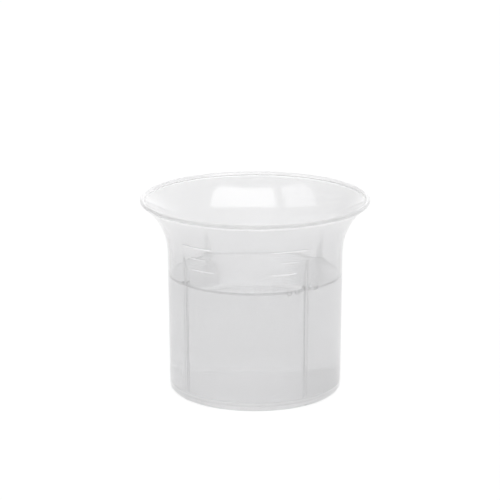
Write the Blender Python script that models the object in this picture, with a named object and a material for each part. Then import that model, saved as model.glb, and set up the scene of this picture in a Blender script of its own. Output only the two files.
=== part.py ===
"""A flared laboratory beaker moulded in one piece, with the liquid it holds.

Metres, +Z up. The origin is the centre of the foot ring's flat underside, and -Y is the side
that carries the graduation marks.
"""

import math

import bmesh
import bpy
import numpy as np

# Overall sizes
HEIGHT = 0.0676
BASE_RADIUS = 0.02945  # outer wall carried down to the table
NECK_RADIUS = 0.0300  # outer wall where the flare begins
RIM_RADIUS = 0.03925  # outermost point of the lip
FLARE_HEIGHT = 0.0191  # from the neck to the top of the lip

# Wall, lip and bottom
WALL = 0.0012
LIP_RADIUS = 0.00075  # the round bead along the mouth
FLOOR = 0.0015
RECESS = 0.0015  # height of the hollow under the floor
FOOT_WIDTH = 0.0018  # flat ring that the beaker stands on
OUTER_CORNER = 0.0023
INNER_CORNER = 0.0013
RECESS_CORNER = 0.0006

# Four slender upright ribs on the inside
RIB_COUNT = 4
RIB_START = 45.0  # degrees round from the front
RIB_WIDTH = 0.0010
RIB_HEIGHT = 0.0016
RIB_RAMP = 0.0040  # a rib starts to slope back into the wall this far under the neck
RIB_END = 0.12  # share of the flare at which it has sunk in

# Graduation marks: raised lines on the front, in two columns that mirror each other
MARK_DROP = 0.0114  # from the top of the lip to the top mark
MARK_SPACING = 0.00405
MARK_WIDTH = 0.0005
MARK_HEIGHT = 0.0002
# (start, length) of each mark in degrees round from the front, from the top mark down
MARKS = ((19.0, 23.0), (25.0, 11.0), (19.0, 17.0))

# Liquid
LIQUID_LEVEL = 0.0409  # flat part of its surface
MENISCUS_RISE = 0.0008  # how far it climbs the wall
MENISCUS_REACH = 0.0016  # distance in which the climb falls to a third
LIQUID_CLEARANCE = 0.0003

# Fineness of the solids
TURNS = 72
CORNER_STEPS = 4
FLARE_STEPS = 9
LIP_STEPS = 8
MENISCUS_STEPS = 8
MARK_STEP = 3.0  # degrees

POLYPROPYLENE = {"colour": (0.90, 0.92, 0.93, 1.0), "roughness": 0.28, "alpha": 0.35}
LIQUID = {"colour": (0.80, 0.84, 0.85, 1.0), "roughness": 0.02, "alpha": 0.30}


def clear_scene():
    for obj in list(bpy.data.objects):
        bpy.data.objects.remove(obj, do_unlink=True)


def make_material(name, look):
    material = bpy.data.materials.new(name)
    material.use_nodes = True
    shader = material.node_tree.nodes["Principled BSDF"]
    shader.inputs["Base Color"].default_value = look["colour"]
    shader.inputs["Roughness"].default_value = look["roughness"]
    shader.inputs["Metallic"].default_value = 0.0
    shader.inputs["Alpha"].default_value = look["alpha"]
    return material


def draft():
    """The straight wall's lean from upright, in radians."""
    return math.atan2(NECK_RADIUS - BASE_RADIUS, HEIGHT - FLARE_HEIGHT)


def outward(lean):
    """Outward direction (r, z) across a wall that leans this far from upright."""
    return np.array([math.cos(lean), -math.sin(lean)])


def flare():
    """(centre, radius, end lean) of the arc that the wall's middle follows above the neck.

    It leaves the straight wall without a kink and ends at the centre of the lip.
    """
    start = np.array([NECK_RADIUS, HEIGHT - FLARE_HEIGHT]) - outward(draft()) * WALL / 2
    across, up = lip_centre() - start
    end_lean = 2 * math.atan2(across, up) - draft()
    radius = up / (math.sin(end_lean) - math.sin(draft()))
    return start + outward(draft()) * radius, radius, end_lean


def lip_centre():
    return np.array([RIM_RADIUS - LIP_RADIUS, HEIGHT - LIP_RADIUS])


def flare_point(share, offset):
    """Point (r, z) a share of the way up the flare, offset outwards from the wall's middle."""
    centre, radius, end_lean = flare()
    lean = draft() + (end_lean - draft()) * share
    return centre - outward(lean) * (radius - offset)


def wall_radius(z, offset):
    """Radius at height z of the surface that lies this far outwards from the wall's middle."""
    centre, radius, _ = flare()
    neck_r, neck_z = flare_point(0.0, offset)
    if z <= neck_z:
        return neck_r - (neck_z - z) * math.tan(draft())
    reach = radius - offset
    return centre[0] - math.sqrt(reach**2 - (z - centre[1]) ** 2)


def fillet(corner, before, after, radius, steps):
    """Arc of this radius that rounds the corner between the lines from before and to after."""
    corner, before, after = (np.asarray(p, float) for p in (corner, before, after))
    towards = (before - corner) / np.linalg.norm(before - corner)
    away = (after - corner) / np.linalg.norm(after - corner)
    half = math.acos(float(np.clip(towards @ away, -1, 1))) / 2
    bisector = (towards + away) / np.linalg.norm(towards + away)
    centre = corner + bisector * radius / math.sin(half)
    first = corner + towards * radius / math.tan(half) - centre
    last = corner + away * radius / math.tan(half) - centre
    turn = math.atan2(first[0] * last[1] - first[1] * last[0], first @ last)
    points = []
    for step in range(steps + 1):
        angle = turn * step / steps
        rotated = (
            first[0] * math.cos(angle) - first[1] * math.sin(angle),
            first[0] * math.sin(angle) + first[1] * math.cos(angle),
        )
        points.append(centre + rotated)
    return points


def inner_bottom(inset):
    """Floor and lower wall of the cup, from the axis outwards, moved this far into the cup."""
    offset = -WALL / 2 - inset
    floor = RECESS + FLOOR + inset
    neck = flare_point(0.0, offset)
    corner = (wall_radius(floor, offset), floor)
    # An inset corner shares its centre with the cup's own, so it turns more tightly.
    return [(0.0, floor)] + fillet(corner, (0.0, floor), neck, INNER_CORNER - inset, CORNER_STEPS)


def shell_profile():
    """Half section of the moulding, from the floor's centre over the lip to the recess."""
    points = inner_bottom(0.0)
    points += [flare_point(i / FLARE_STEPS, -WALL / 2) for i in range(FLARE_STEPS)]

    _, _, end_lean = flare()
    along = np.array([math.sin(end_lean), math.cos(end_lean)])
    for step in range(LIP_STEPS + 1):
        angle = math.radians(-110 + 220 * step / LIP_STEPS)
        points.append(
            lip_centre()
            + along * LIP_RADIUS * math.cos(angle)
            + outward(end_lean) * LIP_RADIUS * math.sin(angle)
        )

    points += [flare_point(i / FLARE_STEPS, WALL / 2) for i in reversed(range(FLARE_STEPS))]
    neck = points[-1]
    foot_inner = BASE_RADIUS - OUTER_CORNER - FOOT_WIDTH
    points += fillet((BASE_RADIUS, 0.0), neck, (0.0, 0.0), OUTER_CORNER, CORNER_STEPS)
    points.append((foot_inner, 0.0))
    points += fillet(
        (foot_inner, RECESS), (foot_inner, 0.0), (0.0, RECESS), RECESS_CORNER, CORNER_STEPS // 2
    )
    points.append((0.0, RECESS))
    return points


def liquid_profile():
    """Half section of the liquid: its flat surface curls up at the wall, then down the wall."""
    offset = -WALL / 2 - LIQUID_CLEARANCE
    edge_z = LIQUID_LEVEL + MENISCUS_RISE
    edge_r = wall_radius(edge_z, offset)
    top = [(0.0, LIQUID_LEVEL)]
    for step in range(MENISCUS_STEPS + 1):
        # closer steps towards the wall, where the surface is steep
        gap = 4 * MENISCUS_REACH * (1 - step / MENISCUS_STEPS) ** 1.6
        top.append((edge_r - gap, LIQUID_LEVEL + MENISCUS_RISE * math.exp(-gap / MENISCUS_REACH)))
    # a liquid that stands above the neck follows the flare too
    flared = [flare_point(i / FLARE_STEPS, offset) for i in range(FLARE_STEPS)]
    side = [point for point in flared if point[1] < edge_z]
    return top + side[::-1] + inner_bottom(LIQUID_CLEARANCE)[::-1]


def turned(name, profile):
    """Closed solid made by turning a half section, which runs down its outer side, about Z."""
    mesh = bpy.data.meshes.new(name)
    edges = [(i, i + 1) for i in range(len(profile) - 1)]
    mesh.from_pydata([(float(r), 0.0, float(z)) for r, z in profile], edges, [])
    obj = bpy.data.objects.new(name, mesh)
    bpy.context.collection.objects.link(obj)
    screw = obj.modifiers.new("turn", "SCREW")
    screw.axis = "Z"
    screw.angle = math.tau
    screw.steps = TURNS
    screw.render_steps = TURNS
    screw.use_merge_vertices = True
    screw.merge_threshold = 0.00001
    return obj


def rib_outline(margin):
    """Side view of a rib: its foot is in the floor, and its top slopes back into the wall.

    The margin grows it on every free side, for the groove that the liquid leaves round it.
    """
    foot = RECESS + FLOOR / 2
    ramp = HEIGHT - FLARE_HEIGHT - RIB_RAMP + margin
    face = -WALL / 2 - RIB_HEIGHT - margin
    return [
        (wall_radius(foot, face), foot),
        (wall_radius(ramp, face), ramp),
        flare_point(RIB_END, -WALL / 4 - margin),
        flare_point(RIB_END, 0.0),
        flare_point(0.0, 0.0),
        (wall_radius(foot, 0.0), foot),
    ]


def make_helper(name, mesh):
    """Object that a Boolean adds or cuts away, left out of the model itself."""
    obj = bpy.data.objects.new(name, mesh)
    bpy.context.collection.objects.link(obj)
    obj.hide_render = True
    obj.display_type = "WIRE"
    return obj


def ribs(name, margin):
    """All the ribs as one helper: each outline is extruded across its width and turned into place."""
    shape = bmesh.new()
    half = RIB_WIDTH / 2 + margin
    for index in range(RIB_COUNT):
        turn = math.radians(RIB_START + 360 * index / RIB_COUNT - 90)
        radial = np.array([math.cos(turn), math.sin(turn), 0.0])
        across = np.array([-math.sin(turn), math.cos(turn), 0.0])
        up = np.array([0.0, 0.0, 1.0])
        base = [shape.verts.new(radial * r + up * z - across * half) for r, z in rib_outline(margin)]
        side = shape.faces.new(base)
        grown = bmesh.ops.extrude_face_region(shape, geom=[side])["geom"]
        moved = [item for item in grown if isinstance(item, bmesh.types.BMVert)]
        bmesh.ops.translate(shape, verts=moved, vec=across * 2 * half)
    bmesh.ops.recalc_face_normals(shape, faces=shape.faces)
    mesh = bpy.data.meshes.new(name)
    shape.to_mesh(mesh)
    shape.free()
    return make_helper(name, mesh)


def marks(name):
    """All the graduation marks as one helper: short raised bands rooted in the wall."""
    shape = bmesh.new()
    for level, (start, length) in enumerate(MARKS):
        height = HEIGHT - MARK_DROP - MARK_SPACING * level
        for side in (-1, 1):
            add_mark(shape, height, side * (start + length / 2), length)
    bmesh.ops.recalc_face_normals(shape, faces=shape.faces)
    mesh = bpy.data.meshes.new(name)
    shape.to_mesh(mesh)
    shape.free()
    return make_helper(name, mesh)


def add_mark(shape, height, centre, length):
    """One band of this height, bent round the wall about its centre; angles in degrees."""
    steps = max(2, round(length / MARK_STEP))
    section = [(0.0, -1), (0.0, 1), (WALL / 2 + MARK_HEIGHT, 1), (WALL / 2 + MARK_HEIGHT, -1)]
    rings = []
    for step in range(steps + 1):
        angle = math.radians(centre + length * (step / steps - 0.5) - 90)
        ring = []
        for offset, side in section:
            z = height + side * MARK_WIDTH / 2
            r = wall_radius(z, offset)
            ring.append(shape.verts.new((r * math.cos(angle), r * math.sin(angle), z)))
        rings.append(ring)
    for ring, following in zip(rings, rings[1:]):
        for corner in range(len(section)):
            beside = (corner + 1) % len(section)
            shape.faces.new((ring[corner], ring[beside], following[beside], following[corner]))
    shape.faces.new(rings[0])
    shape.faces.new(rings[-1])


def combine(obj, helper, operation):
    boolean = obj.modifiers.new(f"{operation.lower()} {helper.name}", "BOOLEAN")
    boolean.operation = operation
    boolean.solver = "EXACT"
    boolean.object = helper


def finish(obj, look):
    obj.data.materials.append(make_material(obj.name, look))
    obj.data.shade_smooth()
    obj.data.set_sharp_from_angle(angle=math.radians(30))


def make_beaker():
    beaker = turned("beaker", shell_profile())
    combine(beaker, ribs("rib_shapes", 0.0), "UNION")
    combine(beaker, marks("mark_shapes"), "UNION")
    finish(beaker, POLYPROPYLENE)


def make_liquid():
    liquid = turned("liquid_fill", liquid_profile())
    combine(liquid, ribs("rib_grooves", LIQUID_CLEARANCE), "DIFFERENCE")
    finish(liquid, LIQUID)


clear_scene()
make_beaker()
make_liquid()
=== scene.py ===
import math

import bpy
import numpy as np
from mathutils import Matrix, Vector


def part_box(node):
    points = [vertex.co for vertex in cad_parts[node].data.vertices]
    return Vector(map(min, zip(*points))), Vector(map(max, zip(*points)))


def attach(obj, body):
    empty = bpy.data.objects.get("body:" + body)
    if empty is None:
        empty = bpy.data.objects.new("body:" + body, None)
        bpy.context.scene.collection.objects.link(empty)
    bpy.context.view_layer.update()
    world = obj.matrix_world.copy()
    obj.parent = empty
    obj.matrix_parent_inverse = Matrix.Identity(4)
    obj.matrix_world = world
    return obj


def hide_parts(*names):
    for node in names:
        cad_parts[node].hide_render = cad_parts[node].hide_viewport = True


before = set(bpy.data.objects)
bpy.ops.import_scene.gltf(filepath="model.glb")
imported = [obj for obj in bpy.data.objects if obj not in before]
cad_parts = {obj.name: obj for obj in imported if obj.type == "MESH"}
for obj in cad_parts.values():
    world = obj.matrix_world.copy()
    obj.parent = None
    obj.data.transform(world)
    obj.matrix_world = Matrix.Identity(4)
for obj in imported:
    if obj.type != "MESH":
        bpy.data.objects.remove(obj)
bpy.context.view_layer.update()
print("frame loaded:", ", ".join(sorted(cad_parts)))


def blend(a, b, share):
    return a + (b - a) * share


def smooth(low, high, x):
    # 0 below low, 1 above high, an S-curve 3t^2 - 2t^3 between them
    t = np.clip((np.asarray(x, float) - low) / (high - low), 0.0, 1.0)
    return t * t * (3.0 - 2.0 * t)


def plateau(x, halfWidth, flank):
    # 1 in the middle, 0 outside, with a soft flank centred on each edge
    return 1.0 - smooth(halfWidth - flank / 2, halfWidth + flank / 2, np.abs(x))


def finer(low, high, count, spots, around, extra):
    # even samples from low to high, with extra ones close round each spot
    values = [np.linspace(low, high, count)]
    for spot in spots:
        values.append(spot + np.linspace(-around, around, extra))
    merged = np.unique(np.round(np.concatenate(values), 7))
    return merged[(merged >= low) & (merged <= high)]


beaker = {
    "baseRadius": 0.02945,  # outer wall carried down to the table
    "neckRadius": 0.0300,  # outer wall where the flare begins
    "flareHeight": 0.0191,
    "wall": 0.0012,
    "lipRadius": 0.00075,
    "lipSwing": 108.0,  # the lip's arc turns this far, in degrees, to each side of its end
    "lipJoin": 0.5,  # the wall stops this many lip radii short of the lip's centre
    "floor": 0.0015,
    "recess": 0.0015,
    "footWidth": 0.0018,
    "outerCorner": 0.0023,
    "cornerGap": 0.0002,  # from the corner's arc up to the first row of the wall
    "innerCorner": 0.0013,
    "recessCorner": 0.0006,
    "footEdge": 0.0003,
}
beaker["rimRadius"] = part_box("beaker")[1][0]
beaker["height"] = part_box("beaker")[1][2]

rib = {
    "count": 4,
    "start": 45.0,  # degrees round from the front
    "width": 0.0010,
    "height": 0.0016,
    "flank": 0.00015,
    "ramp": 0.0062,  # length of the slope at its top
    "top": 0.0022,  # how far past the neck the slope ends
}

mark = {
    "drop": 0.0114,  # from the top of the lip to the top mark
    "spacing": 0.00405,
    "width": 0.0006,
    "height": 0.00034,
    "edge": 0.00008,  # its top edge is sharp, and it slopes away below
    "flank": 0.00032,  # slope at its two ends
    # start and length of each, in degrees from the front, top mark first
    "spans": ((19.0, 23.0), (25.0, 11.0), (19.0, 17.0)),
}

liquid = {
    "level": 0.0409,
    "rise": 0.0009,  # how far it climbs the wall
    "reach": 0.0008,  # the climb falls to a third over this distance
    "cornerRise": 0.0010,  # how much further it climbs in the corner beside a rib
    "cornerReach": 0.0016,
    "overlap": 0.00006,  # its skin lies this far inside the wall, so no air shows between
    "crowding": 2.6,  # its samples lie this much closer together towards the wall
    "film": 0.00009,  # skin of a bubble
    "bubbleSpan": 0.065,  # half the angle, in radians, sampled finely round a bubble
    # bubbles at the edge: degrees from the front, distance from the wall, height, radius
    "bubbles": (
        (32.5, 0.00100, 0.0001, 0.00090),
        (38.4, 0.00095, 0.0002, 0.00085),
        (54.5, 0.00170, 0.0010, 0.00150),
    ),
}

# how many samples each curve is drawn with
detail = {
    "turn": 145,
    "rib": 41,
    "bubble": 41,
    "markEnd": 7,
    "floor": 14,
    "innerCorner": 12,
    "innerWall": 60,
    "lip": 24,
    "wallLength": 400,
    "outerWall": 40,
    "mark": 20,
    "outerCorner": 16,
    "footEdge": 6,
    "recessCorner": 7,
    "recess": 12,
    "liquidCorner": 10,
    "liquidSide": 40,
    "liquidTop": 80,
    "ball": (28, 16),  # round it, and from top to bottom
}

neckHeight = beaker["height"] - beaker["flareHeight"]
draft = math.atan2(beaker["neckRadius"] - beaker["baseRadius"], neckHeight)
lipCentre = np.array([beaker["rimRadius"] - beaker["lipRadius"], beaker["height"] - beaker["lipRadius"]])


def across(lean):
    # outward direction (r, z) square to a wall that leans this far from upright
    return np.stack([np.cos(lean), -np.sin(lean)], -1)


# The wall's middle is a straight line up to the neck, then one arc that leaves it without a kink
# and ends at the centre of the lip. A chord's slope is the mean of the slopes at its two ends.
neckMiddle = np.array([beaker["neckRadius"], neckHeight]) - across(draft) * beaker["wall"] / 2
run, climb = lipCentre - neckMiddle
endLean = 2 * math.atan2(run, climb) - draft
flareRadius = climb / (math.sin(endLean) - math.sin(draft))
flareCentre = neckMiddle + across(draft) * flareRadius
straight = neckHeight / math.cos(draft)
flareLength = flareRadius * (endLean - draft)


def wallPoints(along, offset):
    # (r, z) this far along the wall's middle from the table, moved outwards by the offset
    along, offset = np.broadcast_arrays(np.asarray(along, float), np.asarray(offset, float))
    lean = draft + np.clip(along - straight, 0.0, None) / flareRadius
    below = np.clip(straight - along, 0.0, None)[..., None]
    upWall = np.array([math.sin(draft), math.cos(draft)])
    return flareCentre - across(lean) * (flareRadius - offset)[..., None] - upWall * below


def roundedCorner(corner, before, after, radius, count):
    # arc that rounds the corner between the lines coming from before and going to after
    corner, before, after = (np.asarray(p, float) for p in (corner, before, after))
    towards = (before - corner) / np.linalg.norm(before - corner)
    away = (after - corner) / np.linalg.norm(after - corner)
    half = math.acos(float(np.clip(towards @ away, -1, 1))) / 2
    middle = (towards + away) / np.linalg.norm(towards + away)
    centre = corner + middle * radius / math.sin(half)
    first = corner + towards * radius / math.tan(half) - centre
    last = corner + away * radius / math.tan(half) - centre
    turn = math.atan2(first[0] * last[1] - first[1] * last[0], first @ last)
    angles = np.linspace(0.0, turn, count)
    x = first[0] * np.cos(angles) - first[1] * np.sin(angles)
    z = first[0] * np.sin(angles) + first[1] * np.cos(angles)
    return centre + np.stack([x, z], -1)


def fromRib(theta):
    # distance round the wall to the middle of the nearest rib
    spacing = 2 * math.pi / rib["count"]
    first = math.radians(rib["start"] - 90)
    return np.abs((theta - first + spacing / 2) % spacing - spacing / 2) * beaker["neckRadius"]


def ribShare(theta, along):
    # how far a rib stands proud, 0 to 1: a plateau across its width, sloping away at its top
    width = plateau(fromRib(theta), rib["width"] / 2, rib["flank"])
    end = straight + rib["top"]
    return width * (1.0 - smooth(end - rib["ramp"], end, along))


def markShare(theta, z):
    # how far the graduation marks stand proud, 0 to 1, on the outside
    fromFront = np.degrees((theta + math.pi / 2 + math.pi) % (2 * math.pi) - math.pi)
    share = np.zeros(np.broadcast(theta, z).shape)
    for level, (start, length) in enumerate(mark["spans"]):
        height = beaker["height"] - mark["drop"] - mark["spacing"] * level
        slope = np.clip((z - height + mark["width"] / 2) / (mark["width"] - mark["edge"]), 0.0, 1.0)
        upright = slope * np.clip((height + mark["width"] / 2 - z) / mark["edge"], 0.0, 1.0)
        aside = np.radians(np.abs(fromFront) - start - length / 2) * beaker["neckRadius"]
        halfLength = math.radians(length / 2) * beaker["neckRadius"]
        share = np.maximum(share, upright * plateau(aside, halfLength, mark["flank"]))
    return share


ribAngles = np.radians(rib["start"] - 90 + 360 / rib["count"] * np.arange(rib["count"]))
markEnds = [
    side * end
    for start, length in mark["spans"]
    for side in (-1, 1)
    for end in (start, start + length)
]


def turnSamples(*fineSpots):
    # angles round the axis, closer together round each (centres, half width, count) asked for
    full = 2 * math.pi
    halfRib = (rib["width"] + rib["flank"]) / beaker["neckRadius"]
    angles = [finer(0.0, full, detail["turn"], ribAngles % full, halfRib, detail["rib"])]
    for centres, halfWidth, count in fineSpots:
        angles.append(finer(0.0, full, 2, np.asarray(centres) % full, halfWidth, count))
    return np.unique(np.concatenate(angles))[:-1]


def closedTurn(r, z, theta):
    # Rows of (r, z) run from one pole to the other, each a ring with a radius for every angle.
    # The first and last rows are on the axis and become single points.
    rings, turns = r.shape
    xyz = np.stack([r * np.cos(theta), r * np.sin(theta), z], -1)[1:-1].reshape(-1, 3)
    poles = np.array([[0.0, 0.0, z[0, 0]], [0.0, 0.0, z[-1, 0]]])
    points = np.concatenate([xyz, poles])
    here = np.arange(turns)
    beside = (here + 1) % turns
    row = (np.arange(rings - 3) * turns)[:, None]
    quads = np.stack([row + here, row + turns + here, row + turns + beside, row + beside], -1)
    lastRow = (rings - 3) * turns
    firstPole, lastPole = len(xyz), len(xyz) + 1
    startFan = np.stack([np.full(turns, firstPole), here, beside], -1)
    endFan = np.stack([np.full(turns, lastPole), lastRow + beside, lastRow + here], -1)
    return points, quads.reshape(-1, 4), np.concatenate([startFan, endFan])


def makeMesh(name, points, quads, triangles):
    # one mesh from whole arrays of points and faces, shaded smooth
    mesh = bpy.data.meshes.new(name)
    mesh.vertices.add(len(points))
    mesh.vertices.foreach_set("co", points.astype(np.float32).ravel())
    corners = np.concatenate([quads.ravel(), triangles.ravel()]).astype(np.int32)
    sizes = np.concatenate([np.full(len(quads), 4), np.full(len(triangles), 3)])
    starts = np.concatenate([[0], np.cumsum(sizes)[:-1]]).astype(np.int32)
    mesh.loops.add(len(corners))
    mesh.loops.foreach_set("vertex_index", corners)
    mesh.polygons.add(len(sizes))
    mesh.polygons.foreach_set("loop_start", starts)
    mesh.update(calc_edges=True)
    mesh.validate()
    mesh.shade_smooth()
    piece = bpy.data.objects.new(name, mesh)
    bpy.context.collection.objects.link(piece)
    print(name, "has", len(quads) * 2 + len(triangles), "triangles")
    return piece


def innerSection(theta, push, top, count, cornerCount):
    # The cup's inside from the axis out along the floor, round the corner and up to top, as rows of
    # (r, z) with a column for every angle. The ribs stand in. Push moves it all into the plastic.
    half = beaker["wall"] / 2
    floorTop = beaker["recess"] + beaker["floor"]
    corner = wallPoints(floorTop / math.cos(draft), -half)
    wallEnd = wallPoints(straight, -half)
    arc = roundedCorner(corner, (0.0, corner[1]), wallEnd, beaker["innerCorner"], cornerCount)
    share = ribShare(theta, 0.0)[None, :]
    ribR = arc[-1, 0] - rib["height"]
    # a rib stands upright on the floor, so its rows are drawn in to its face there
    ribZ = np.linspace(arc[0, 1], arc[-1, 1], cornerCount)
    arcR = blend(arc[:, 0, None], ribR, share) + push
    pushDown = push * np.linspace(1.0, 0.0, cornerCount)[:, None]
    arcZ = blend(arc[:, 1, None], ribZ[:, None], share) - pushDown
    floorR = np.linspace(0.0, 1.0, detail["floor"])[:-1, None] * arcR[0]
    floorZ = np.full_like(floorR, corner[1] - push)
    along = blend(arc[-1, 1] / math.cos(draft), top, np.linspace(0.0, 1.0, count)[1:, None])
    wallRz = wallPoints(along, -half - rib["height"] * ribShare(theta, along) + push)
    r = np.concatenate([floorR, arcR, wallRz[..., 0]])
    z = np.concatenate([floorZ, arcZ, wallRz[..., 1]])
    return r, z


def makeBeaker(theta):
    half = beaker["wall"] / 2
    wallTop = straight + flareLength - beaker["lipRadius"] * beaker["lipJoin"]
    innerR, innerZ = innerSection(theta, 0.0, wallTop, detail["innerWall"], detail["innerCorner"])

    # the lip: an arc about the end of the wall's middle, from the inside over to the outside
    swing = np.radians(np.linspace(-beaker["lipSwing"], beaker["lipSwing"], detail["lip"]))[:, None]
    alongEnd = np.array([math.sin(endLean), math.cos(endLean)])
    lip = lipCentre + beaker["lipRadius"] * (np.cos(swing) * alongEnd + np.sin(swing) * across(endLean))

    # outside: down the flare and wall, with the marks standing out
    markTops = beaker["height"] - mark["drop"] - mark["spacing"] * np.arange(len(mark["spans"]))
    cornerStart = (beaker["outerCorner"] + beaker["cornerGap"]) / math.cos(draft)
    rows = np.linspace(cornerStart, wallTop, detail["wallLength"])
    markAlong = np.interp(markTops, wallPoints(rows, half)[:, 1], rows)
    nearMark = mark["width"] / 2 + mark["edge"]
    along = finer(cornerStart, wallTop, detail["outerWall"], markAlong, nearMark, detail["mark"])
    along = along[::-1, None]
    plain = wallPoints(along, half)
    outer = wallPoints(along, half + mark["height"] * markShare(theta, plain[..., 1]))

    # bottom edge, foot ring, recess and its floor
    footInner = beaker["baseRadius"] - beaker["outerCorner"] - beaker["footWidth"]
    neck, table = (beaker["neckRadius"], neckHeight), (0.0, 0.0)
    heel, step = (beaker["baseRadius"], 0.0), (footInner, 0.0)
    top, middle = (footInner, beaker["recess"]), (0.0, beaker["recess"])
    edge = roundedCorner(heel, neck, table, beaker["outerCorner"], detail["outerCorner"])
    footCorner = roundedCorner(step, heel, top, beaker["footEdge"], detail["footEdge"])
    recessCorner = roundedCorner(top, step, middle, beaker["recessCorner"], detail["recessCorner"])
    recessR = np.linspace(recessCorner[-1, 0], 0.0, detail["recess"])[1:]
    recessFloor = np.stack([recessR, np.full_like(recessR, beaker["recess"])], -1)
    foot = np.concatenate([edge, footCorner, recessCorner, recessFloor])

    ones = np.ones_like(theta)
    r = np.concatenate([innerR, lip[:, 0, None] * ones, outer[..., 0] * ones, foot[:, 0, None] * ones])
    z = np.concatenate([innerZ, lip[:, 1, None] * ones, outer[..., 1] * ones, foot[:, 1, None] * ones])
    return makeMesh("beakerShell", *closedTurn(r, z, theta))


def bubbleCentres():
    # where each bubble floats at the edge of the liquid
    edge = wallPoints(liquid["level"] / math.cos(draft), -beaker["wall"] / 2)[0]
    centres = []
    for degrees, gap, height, radius in liquid["bubbles"]:
        angle, away = math.radians(degrees - 90), edge - gap
        centres.append((away * math.cos(angle), away * math.sin(angle), liquid["level"] + height, radius))
    return centres


def ballAt(centre, radius):
    # a sphere as a closed turn about its own upright axis
    turns, rings = detail["ball"]
    theta = np.linspace(0.0, 2 * math.pi, turns + 1)[:-1]
    swing = np.linspace(0.0, math.pi, rings)[:, None]
    r = radius * np.sin(swing) * np.ones_like(theta)
    z = radius * np.cos(swing) * np.ones_like(theta)
    points, quads, fans = closedTurn(r, z, theta)
    return points + centre, quads, fans


def makeLiquid(theta):
    # The surface's height is level + rise * exp(-gap / reach), where gap is the distance to the wall.
    # So it is flat in the middle and curls up the wall, further up beside a rib, and each bubble
    # lifts a dome one film thicker than itself.
    corner = np.exp(-np.clip(fromRib(theta) - rib["width"] / 2, 0.0, None) / liquid["cornerReach"])
    rise = liquid["rise"] + liquid["cornerRise"] * corner
    edgeAlong = (liquid["level"] + rise) / math.cos(draft)
    counts = detail["liquidSide"], detail["liquidCorner"]
    sideR, sideZ = innerSection(theta, liquid["overlap"], edgeAlong, *counts)
    edgeR = wallPoints(edgeAlong, -beaker["wall"] / 2 - rib["height"] * ribShare(theta, edgeAlong))[:, 0]
    gap = edgeR * (1.0 - np.linspace(0.0, 1.0, detail["liquidTop"])[:, None]) ** liquid["crowding"]
    topR = edgeR - gap
    topZ = liquid["level"] + rise * np.exp(-gap / liquid["reach"])
    topZ[0] = liquid["level"]
    balls = []
    for x, y, z, radius in bubbleCentres():
        apart = np.hypot(topR * np.cos(theta) - x, topR * np.sin(theta) - y)
        dome = z + np.sqrt(np.clip((radius + liquid["film"]) ** 2 - apart**2, 0.0, None))
        topZ = np.where(apart < radius + liquid["film"], np.maximum(topZ, dome), topZ)
        balls.append(ballAt((x, y, z), radius))
    r = np.concatenate([topR, sideR[::-1]])
    z = np.concatenate([topZ, sideZ[::-1]])
    points, quads, fans = closedTurn(r, z, theta)
    # each ball's faces are turned round, which makes it a hole in the liquid
    for ball, ballQuads, ballFans in balls:
        quads = np.concatenate([quads, ballQuads[:, ::-1] + len(points)])
        fans = np.concatenate([fans, ballFans[:, ::-1] + len(points)])
        points = np.concatenate([points, ball])
    return makeMesh("liquidBody", points, quads, fans)


bubbleAngles = np.radians(np.array([bubble[0] for bubble in liquid["bubbles"]]) - 90)
markAngles = np.radians(np.array(markEnds) - 90)
markFlank = mark["flank"] / beaker["neckRadius"]
shell = makeBeaker(turnSamples((markAngles, markFlank, detail["markEnd"])))
water = makeLiquid(turnSamples((bubbleAngles, liquid["bubbleSpan"], detail["bubble"])))


class Wire:
    # one socket's value: arithmetic on it adds Math nodes beside it
    def __init__(self, bench, socket):
        self.bench = bench
        self.socket = socket

    def __add__(self, other):
        return self.bench.math("ADD", self, other)

    def __sub__(self, other):
        return self.bench.math("SUBTRACT", self, other)

    def __mul__(self, other):
        return self.bench.math("MULTIPLY", self, other)

    def __rsub__(self, other):
        return self.bench.math("SUBTRACT", other, self)

    __radd__ = __add__


class Bench:
    # the nodes of one material or of the world
    def __init__(self, owner):
        owner.use_nodes = True
        self.tree = owner.node_tree
        self.tree.nodes.clear()

    def node(self, kind, settings=None, sockets=None, out=0):
        made = self.tree.nodes.new(kind)
        for key, value in (settings or {}).items():
            setattr(made, key, value)
        for key, value in (sockets or {}).items():
            if isinstance(value, Wire):
                self.tree.links.new(value.socket, made.inputs[key])
            else:
                made.inputs[key].default_value = value
        return Wire(self, made.outputs[out]) if len(made.outputs) else made

    def math(self, operation, a, b):
        return self.node("ShaderNodeMath", {"operation": operation}, {0: a, 1: b})


def fade(bench, value, ends, results=(0.0, 1.0), curve="SMOOTHSTEP"):
    # the first result where the value is at the first end, the second at the second, held beyond both
    sockets = {"Value": value, "From Min": ends[0], "From Max": ends[1]}
    sockets.update({"To Min": results[0], "To Max": results[1]})
    return bench.node("ShaderNodeMapRange", {"interpolation_type": curve}, sockets)


def coordinate(bench, vector, which):
    return bench.node("ShaderNodeSeparateXYZ", {}, {"Vector": vector}, out=which)


def fromAxis(bench, place):
    # how far a place is from the beaker's axis
    flat = bench.node("ShaderNodeVectorMath", {"operation": "MULTIPLY"}, {0: place, 1: (1.0, 1.0, 0.0)})
    return bench.node("ShaderNodeVectorMath", {"operation": "LENGTH"}, {0: flat}, out=1)


white, black = (1.0, 1.0, 1.0, 1.0), (0.0, 0.0, 0.0, 1.0)


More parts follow.
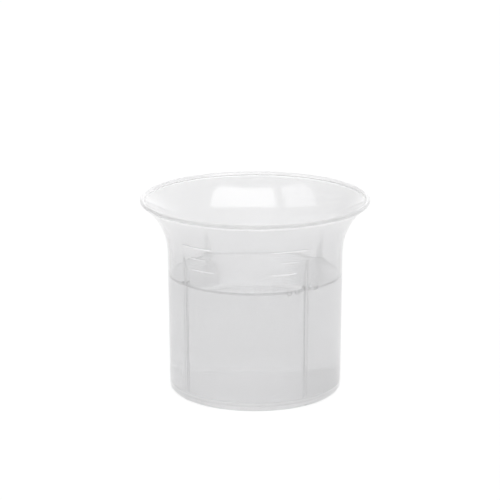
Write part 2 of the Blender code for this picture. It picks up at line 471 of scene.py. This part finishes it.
def makePolypropylene():
    look = {
        "colour": (0.93, 0.93, 0.935, 1.0),
        "ior": 1.49,
        "clear": 1.0,
        "roughness": 0.09,
        "mottle": 0.08,  # how far its roughness wanders
        "clouds": 90.0,  # scale of the soft unevenness of its skin
        "flow": 420.0,  # scale of the fine upright flow lines
        "stretch": (1.0, 1.0, 0.12),
        "bump": {"Strength": 0.25, "Distance": 0.00002},
        "milk": 350.0,  # how strongly it scatters, per metre
        "grey": 12.5,  # how strongly it absorbs, per metre
        "root": 0.30,  # painted shade: how much darker the base colour is made at the root of a rib, where it meets the wall
        "rootWidth": (0.0011, 0.0011 / 3),  # how far from a rib's middle that fades out and is full
        # it fades in and out across the wall, measured outwards from the wall's inside at the table
        "rootIn": (-0.0004, 0.0),
        "rootOut": (0.0010, 0.0008),
    }
    material = bpy.data.materials.new("naturalPolypropylene")
    bench = Bench(material)
    place = bench.node("ShaderNodeTexCoord", out=3)
    cloud = bench.node("ShaderNodeTexNoise", {}, {"Vector": place, "Scale": look["clouds"], "Detail": 3.0})
    stretch = bench.node("ShaderNodeMapping", {}, {"Vector": place, "Scale": look["stretch"]})
    flow = bench.node("ShaderNodeTexNoise", {}, {"Vector": stretch, "Scale": look["flow"], "Detail": 2.0})
    surface = bench.node("ShaderNodeBump", {}, {**look["bump"], "Height": flow + cloud * 2.0})

    # gap is the distance round the wall to the middle of the nearest rib, as in fromRib
    x, y = (coordinate(bench, place, i) for i in range(2))
    spacing = 2 * math.pi / rib["count"]
    turn = bench.math("ARCTAN2", y, x) * (1 / spacing) - math.radians(rib["start"] - 90) / spacing
    aside = bench.math("ABSOLUTE", bench.math("FRACT", turn + 0.5, 0.0) - 0.5, 0.0)
    gap = aside * (spacing * beaker["neckRadius"])
    outwards = fromAxis(bench, place)
    inner = beaker["baseRadius"] - beaker["wall"]
    near = fade(bench, gap, look["rootWidth"])
    rootIn = fade(bench, outwards, [inner + end for end in look["rootIn"]], curve="LINEAR")
    rootOut = fade(bench, outwards, [inner + end for end in look["rootOut"]], curve="LINEAR")
    # painted shade: the base colour is darkened towards black at the root of each rib
    root = near * rootIn * rootOut * look["root"]
    sockets = {"Factor": root, "A": look["colour"], "B": black}
    shadedColour = bench.node("ShaderNodeMix", {"data_type": "RGBA"}, sockets, out=2)
    shader = bench.node(
        "ShaderNodeBsdfPrincipled",
        {},
        {
            "Base Color": shadedColour,
            "Roughness": look["roughness"] + (cloud - 0.5) * look["mottle"],
            "IOR": look["ior"],
            "Transmission Weight": look["clear"],
            "Normal": surface,
        },
    )
    haze = bench.node("ShaderNodeVolumeScatter", {}, {"Color": white, "Density": look["milk"]})
    grey = bench.node("ShaderNodeVolumeAbsorption", {}, {"Color": black, "Density": look["grey"]})
    plastic = bench.node("ShaderNodeAddShader", {}, {0: haze, 1: grey})
    bench.node("ShaderNodeOutputMaterial", {}, {"Surface": shader, "Volume": plastic})
    return material


def makeWater():
    look = {
        "ior": 1.333,
        "absorbs": 1.8,  # per metre
        "ripples": 60.0,  # scale of the slight unevenness of its surface
        "bump": {"Strength": 0.1, "Distance": 0.00002},
        "paintedEdgeShade": 0.35,  # painted shade: the thin wedge along its edge sends light aside and so looks darker, and its base colour is darkened there
        "edgeFrom": 0.0001,  # how far above the level that starts
        "edgeSoft": 0.0001,  # height over which it comes in
        "wallSoft": 0.00003,  # depth into the wall over which it comes in
    }
    material = bpy.data.materials.new("clearLiquid")
    bench = Bench(material)
    place = bench.node("ShaderNodeTexCoord", out=3)
    ripple = bench.node("ShaderNodeTexNoise", {}, {"Vector": place, "Scale": look["ripples"], "Detail": 1.0})
    surface = bench.node("ShaderNodeBump", {}, {**look["bump"], "Height": ripple})
    low = liquid["level"] + look["edgeFrom"]
    wall = wallPoints(liquid["level"] / math.cos(draft), -beaker["wall"] / 2)[0]
    above = fade(bench, coordinate(bench, place, 2), (low, low + look["edgeSoft"]), curve="LINEAR")
    atWall = fade(bench, fromAxis(bench, place), (wall, wall + look["wallSoft"]), curve="LINEAR")
    # painted shade: the base colour is darkened in the thin edge above the level, where it meets the wall
    shadedColour = 1.0 - above * atWall * look["paintedEdgeShade"]
    shader = bench.node(
        "ShaderNodeBsdfPrincipled",
        {},
        {
            "Base Color": shadedColour,
            "Roughness": 0.0,
            "IOR": look["ior"],
            "Transmission Weight": 1.0,
            "Normal": surface,
        },
    )
    tint = bench.node("ShaderNodeVolumeAbsorption", {}, {"Color": black, "Density": look["absorbs"]})
    bench.node("ShaderNodeOutputMaterial", {}, {"Surface": shader, "Volume": tint})
    return material


shell.data.materials.append(makePolypropylene())
water.data.materials.append(makeWater())
for piece, node, slot in ((shell, "beaker", "polypropylene"), (water, "liquid_fill", "clear_liquid")):
    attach(piece, "root")
    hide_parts(node)
print("beaker and liquid made")

studio = {
    "floorSize": 4.0,
    "floorGlow": 0.93,
    "floorColour": (0.10, 0.10, 0.10, 1.0),
    "under": 0.85,  # how bright it is under the beaker, against its brightness elsewhere
    "underEnds": (0.020, 0.027),  # distances from the axis where that starts to end and has ended
    # light from all round: directions are given by their share towards the back, right or top
    "front": 0.12,
    "back": 0.90,
    "backEnds": (-0.6, 0.9),
    "lift": 0.10,  # how much brighter it is overhead
    "strip": 0.55,  # the bright strip low behind the object
    "stripHeight": (0.55, 0.15),
    "stripBehind": (0.3, 0.8),
    "side": 0.6,  # how much darker it is far to the left
    "sideEnds": (-0.25, -0.85),
    "boxes": (2.6, 1.5),  # two soft boxes above the camera's side
    # each box's two sides, in degrees round from the front, and the boxes' lower and upper edge
    "boxSides": ((-20.0, 72.0), (-80.0, -34.0)),
    "boxEdges": (26.0, 60.0),
    "sideSoft": 0.06,
    "edgeSoft": 0.03,
}


def makeFloor():
    half = studio["floorSize"] / 2
    mesh = bpy.data.meshes.new("floor")
    corners = [(-half, -half, 0), (half, -half, 0), (half, half, 0), (-half, half, 0)]
    mesh.from_pydata(corners, [], [(0, 1, 2, 3)])
    floor = bpy.data.objects.new("floor", mesh)
    bpy.context.collection.objects.link(floor)
    material = bpy.data.materials.new("paleFloor")
    bench = Bench(material)
    place = bench.node("ShaderNodeTexCoord", out=3)
    fromMiddle = bench.node("ShaderNodeVectorMath", {"operation": "LENGTH"}, {0: place}, out=1)
    # it is shaded where the foot ring encloses it
    shade = fade(bench, fromMiddle, studio["underEnds"], (studio["under"], 1.0))
    shader = bench.node(
        "ShaderNodeBsdfPrincipled",
        {},
        {
            "Base Color": studio["floorColour"],
            "Roughness": 0.9,
            "Specular IOR Level": 0.0,
            "Emission Color": shade,
            "Emission Strength": studio["floorGlow"],
        },
    )
    bench.node("ShaderNodeOutputMaterial", {}, {"Surface": shader})
    floor.data.materials.append(material)


def studioMask(bench, value, limits, soft):
    # 1 between the two limits and 0 outside them, with soft edges
    low, high = limits
    return fade(bench, value, (low - soft, low + soft)) * fade(bench, value, (high + soft, high - soft))


def makeWorld():
    world = bpy.data.worlds.new("studio")
    bpy.context.scene.world = world
    bench = Bench(world)
    direction = bench.node("ShaderNodeTexCoord", out=0)
    right, back, up = (coordinate(bench, direction, i) for i in range(3))
    # brighter towards the back and overhead, darker on the camera's side and to the left
    fromFront = fade(bench, back, studio["backEnds"], (studio["front"], studio["back"]))
    lift = fade(bench, up, (0.0, 1.0), (0.0, studio["lift"]))
    low = fade(bench, up, studio["stripHeight"], (0.0, studio["strip"]))
    behind = fade(bench, back, studio["stripBehind"])
    left = fade(bench, right, studio["sideEnds"], (1.0, 1.0 - studio["side"]))
    # the soft boxes, by their bearing round from the front and their height
    bearing = bench.math("ARCTAN2", right, back * -1.0)
    edges = np.sin(np.radians(studio["boxEdges"])).tolist()
    height = studioMask(bench, up, edges, studio["edgeSoft"])
    sides = np.radians(studio["boxSides"]).tolist()
    boxes = [studioMask(bench, bearing, pair, studio["sideSoft"]) for pair in sides]
    bright = boxes[0] * studio["boxes"][0] + boxes[1] * studio["boxes"][1]
    level = (fromFront + lift + low * behind) * left + bright * height
    light = bench.node("ShaderNodeBackground", {}, {"Color": white, "Strength": level})
    bench.node("ShaderNodeOutputWorld", {}, {"Surface": light})


def makeCamera():
    view = {
        "distance": 0.9398,
        "azimuth": 8.7,  # degrees to the right of the front
        "elevation": 15.874,
        "lens": 196.71,
        "shift": (-0.01033, 0.0856),
    }
    camera = bpy.data.objects.new("camera", bpy.data.cameras.new("camera"))
    bpy.context.collection.objects.link(camera)
    azimuth, elevation = math.radians(view["azimuth"]), math.radians(view["elevation"])
    level = math.cos(elevation)
    aim = Vector((0.0, 0.0, beaker["height"] / 2))
    away = Vector((math.sin(azimuth) * level, -math.cos(azimuth) * level, math.sin(elevation)))
    camera.location = aim + away * view["distance"]
    camera.rotation_euler = away.to_track_quat("Z", "Y").to_euler()
    camera.data.lens = view["lens"]
    camera.data.shift_x, camera.data.shift_y = view["shift"]
    camera.data.clip_end = 20.0
    bpy.context.scene.camera = camera


makeFloor()
makeWorld()
makeCamera()
bpy.context.scene.view_settings.view_transform = "Standard"
# Light scattered in the milky wall runs along it and bounces many times before it gets out. Glossy
# filtering is off, because it would lose a little at each of those bounces and grey the plastic.
cycles = bpy.context.scene.cycles
cycles.blur_glossy = 0.0
bounces = 128
cycles.volume_bounces = bounces
cycles.transmission_bounces = bounces
cycles.glossy_bounces = bounces
cycles.max_bounces = bounces
print("floor, light and camera set")
